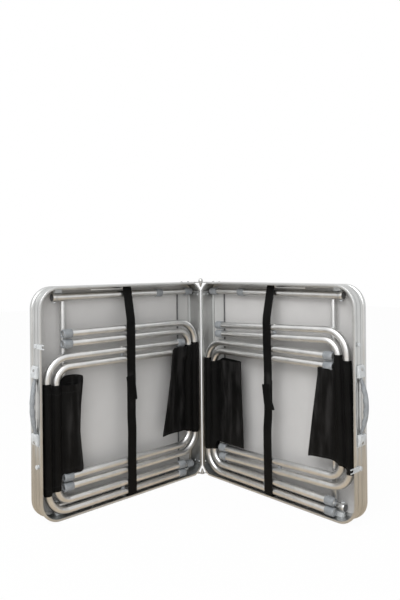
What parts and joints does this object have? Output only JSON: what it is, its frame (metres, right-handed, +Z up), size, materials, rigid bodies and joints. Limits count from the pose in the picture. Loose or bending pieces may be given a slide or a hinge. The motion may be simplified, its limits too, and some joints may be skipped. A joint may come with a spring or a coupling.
{
  "type": "folding suitcase table with stools",
  "caption": "Half-open folding picnic table that closes like a suitcase, with X-frame stools strapped inside, telescopic fold-out legs, carrying grips and hook latches.",
  "frame": {"origin": "On the floor, under the middle of the part's box at rest.", "axes": "+Z is up along the fold axis. The left half lies along X with its tabletop facing +Y, and the right half lies along Y with its tabletop facing +X. The open inside faces -X and -Y."},
  "size_m": [0.6213, 0.6224, 0.611],
  "materials": {
    "rim_aluminium": "satin extruded aluminium",
    "tube_aluminium": "bright polished aluminium tube",
    "steel": "plated steel",
    "panel_grey": "light grey laminated board",
    "brace_white": "white painted strip",
    "grey_plastic": "blue-grey moulded plastic",
    "pale_plastic": "pale grey moulded plastic",
    "black_fabric": "black woven cloth and webbing"
  },
  "bodies": {
    "left_case": {"left_case_rim": "rim_aluminium", "left_spine_bar": "rim_aluminium", "left_top_panel": "panel_grey", "left_panel_brace": "brace_white", "left_hinge_leaf_a": "steel", "left_hinge_leaf_b": "steel", "left_leg_bracket_a": "steel", "left_leg_bracket_b": "steel", "left_handle_bracket_a": "pale_plastic", "left_handle_bracket_b": "pale_plastic", "left_latch_catch": "steel", "left_strap": "black_fabric", "hinge_pin_upper": "steel", "hinge_pin_lower": "steel"},
    "left_legs": {"left_leg_a": "tube_aluminium", "left_leg_b": "tube_aluminium", "left_leg_crossbar": "tube_aluminium", "left_leg_collar_a": "grey_plastic", "left_leg_collar_b": "grey_plastic"},
    "left_extension_a": {"left_leg_extension_a": "tube_aluminium", "left_leg_foot_a": "grey_plastic"},
    "left_extension_b": {"left_leg_extension_b": "tube_aluminium", "left_leg_foot_b": "grey_plastic"},
    "left_grip": {"left_handle_grip": "grey_plastic"},
    "left_hook": {"left_latch_hook": "steel"},
    "left_spine_stool": {"left_spine_stool_outer_frame": "tube_aluminium", "left_spine_stool_seat": "black_fabric"},
    "left_spine_stool_inner": {"left_spine_stool_inner_frame": "tube_aluminium"},
    "left_outer_stool": {"left_outer_stool_outer_frame": "tube_aluminium", "left_outer_stool_seat": "black_fabric"},
    "left_outer_stool_inner": {"left_outer_stool_inner_frame": "tube_aluminium"},
    "right_case": {"right_case_rim": "rim_aluminium", "right_spine_bar": "rim_aluminium", "right_top_panel": "panel_grey", "right_panel_brace": "brace_white", "right_hinge_leaf_a": "steel", "right_hinge_leaf_b": "steel", "right_leg_bracket_a": "steel", "right_leg_bracket_b": "steel", "right_handle_bracket_a": "pale_plastic", "right_handle_bracket_b": "pale_plastic", "right_latch_catch": "steel", "right_strap": "black_fabric"},
    "right_legs": {"right_leg_a": "tube_aluminium", "right_leg_b": "tube_aluminium", "right_leg_crossbar": "tube_aluminium", "right_leg_collar_a": "grey_plastic", "right_leg_collar_b": "grey_plastic"},
    "right_extension_a": {"right_leg_extension_a": "tube_aluminium", "right_leg_foot_a": "grey_plastic"},
    "right_extension_b": {"right_leg_extension_b": "tube_aluminium", "right_leg_foot_b": "grey_plastic"},
    "right_grip": {"right_handle_grip": "grey_plastic"},
    "right_hook": {"right_latch_hook": "steel"},
    "right_spine_stool": {"right_spine_stool_outer_frame": "tube_aluminium", "right_spine_stool_seat": "black_fabric"},
    "right_spine_stool_inner": {"right_spine_stool_inner_frame": "tube_aluminium"},
    "right_outer_stool": {"right_outer_stool_outer_frame": "tube_aluminium", "right_outer_stool_seat": "black_fabric"},
    "right_outer_stool_inner": {"right_outer_stool_inner_frame": "tube_aluminium"}
  },
  "joints": [
    {"name": "case_fold", "type": "hinge", "parent": "left_case", "child": "right_case", "pos_m": [0.2582, 0.2588, 0], "axis": [0, 0, 1], "range_deg": [-90, 90]},
    {"name": "left_stools_out", "type": "slide", "parent": "left_case", "child": "left_spine_stool", "axis": [-0.0599, -0.9982, 0], "range_m": [0, 1.3], "deforming": ["left_strap"]},
    {"name": "left_outer_stool_out", "type": "slide", "parent": "left_case", "child": "left_outer_stool", "axis": [-0.0599, -0.9982, 0], "range_m": [0, 0.975]},
    {"name": "left_spine_stool_unfold", "type": "hinge", "parent": "left_spine_stool", "child": "left_spine_stool_inner", "pos_m": [0.0092, 0.2713, 0.2775], "axis": [0, 0, -1], "range_deg": [0, 75], "deforming": ["left_spine_stool_seat"]},
    {"name": "left_outer_stool_unfold", "type": "hinge", "parent": "left_outer_stool", "child": "left_outer_stool_inner", "pos_m": [-0.0358, 0.2713, 0.2175], "axis": [0, 0, -1], "range_deg": [0, 75], "deforming": ["left_outer_stool_seat"]},
    {"name": "left_legs_swing", "type": "hinge", "parent": "left_case", "child": "left_legs", "pos_m": [-0.2328, 0.2928, 0.3], "axis": [0, 0, -1], "range_deg": [0, 90]},
    {"name": "left_extension_a_out", "type": "slide", "parent": "left_legs", "child": "left_extension_a", "axis": [1, 0, 0], "range_m": [0, 0.15]},
    {"name": "left_extension_b_out", "type": "slide", "parent": "left_legs", "child": "left_extension_b", "axis": [1, 0, 0], "range_m": [0, 0.15]},
    {"name": "left_grip_swing", "type": "hinge", "parent": "left_case", "child": "left_grip", "pos_m": [-0.2938, 0.2833, 0.3], "axis": [0, 0, -1], "range_deg": [-45, 105]},
    {"name": "left_hook_turn", "type": "hinge", "parent": "left_case", "child": "left_hook", "pos_m": [-0.2918, 0.2748, 0.452], "axis": [-1, 0, 0], "range_deg": [0, 90]},
    {"name": "right_stools_out", "type": "slide", "parent": "right_case", "child": "right_spine_stool", "axis": [-0.9982, -0.0599, 0], "range_m": [0, 1.3], "deforming": ["right_strap"]},
    {"name": "right_outer_stool_out", "type": "slide", "parent": "right_case", "child": "right_outer_stool", "axis": [-0.9982, -0.0599, 0], "range_m": [0, 0.975]},
    {"name": "right_spine_stool_unfold", "type": "hinge", "parent": "right_spine_stool", "child": "right_spine_stool_inner", "pos_m": [0.2707, 0.0098, 0.2175], "axis": [0, 0, 1], "range_deg": [0, 75], "deforming": ["right_spine_stool_seat"]},
    {"name": "right_outer_stool_unfold", "type": "hinge", "parent": "right_outer_stool", "child": "right_outer_stool_inner", "pos_m": [0.2707, -0.0352, 0.2775], "axis": [0, 0.0349, 0.9994], "range_deg": [0, 75], "deforming": ["right_outer_stool_seat"]},
    {"name": "right_legs_swing", "type": "hinge", "parent": "right_case", "child": "right_legs", "pos_m": [0.2922, -0.2322, 0.3], "axis": [0, 0, 1], "range_deg": [0, 90]},
    {"name": "right_extension_a_out", "type": "slide", "parent": "right_legs", "child": "right_extension_a", "axis": [0, 1, 0], "range_m": [0, 0.15]},
    {"name": "right_extension_b_out", "type": "slide", "parent": "right_legs", "child": "right_extension_b", "axis": [0, 1, 0], "range_m": [0, 0.15]},
    {"name": "right_grip_swing", "type": "hinge", "parent": "right_case", "child": "right_grip", "pos_m": [0.2827, -0.2932, 0.3], "axis": [0, 0, 1], "range_deg": [-90, 60]},
    {"name": "right_hook_turn", "type": "hinge", "parent": "right_case", "child": "right_hook", "pos_m": [0.2742, -0.2912, 0.148], "axis": [0, -1, 0], "range_deg": [0, 90]}
  ],
  "couplings": [
    {"joint": "left_outer_stool_out", "follows": "left_stools_out", "ratio": 0.75},
    {"joint": "left_spine_stool_unfold", "follows": "left_stools_out", "rad_per_m": 1.0069},
    {"joint": "left_outer_stool_unfold", "follows": "left_stools_out", "rad_per_m": 1.0069},
    {"joint": "left_legs_swing", "follows": "left_stools_out", "rad_per_m": 1.2083},
    {"joint": "left_extension_a_out", "follows": "left_stools_out", "ratio": 0.11539},
    {"joint": "left_extension_b_out", "follows": "left_stools_out", "ratio": 0.11539},
    {"joint": "right_outer_stool_out", "follows": "right_stools_out", "ratio": 0.75},
    {"joint": "right_spine_stool_unfold", "follows": "right_stools_out", "rad_per_m": 1.0069},
    {"joint": "right_outer_stool_unfold", "follows": "right_stools_out", "rad_per_m": 1.0069},
    {"joint": "right_legs_swing", "follows": "right_stools_out", "rad_per_m": 1.2083},
    {"joint": "right_extension_a_out", "follows": "right_stools_out", "ratio": 0.11539},
    {"joint": "right_extension_b_out", "follows": "right_stools_out", "ratio": 0.11539}
  ]
}
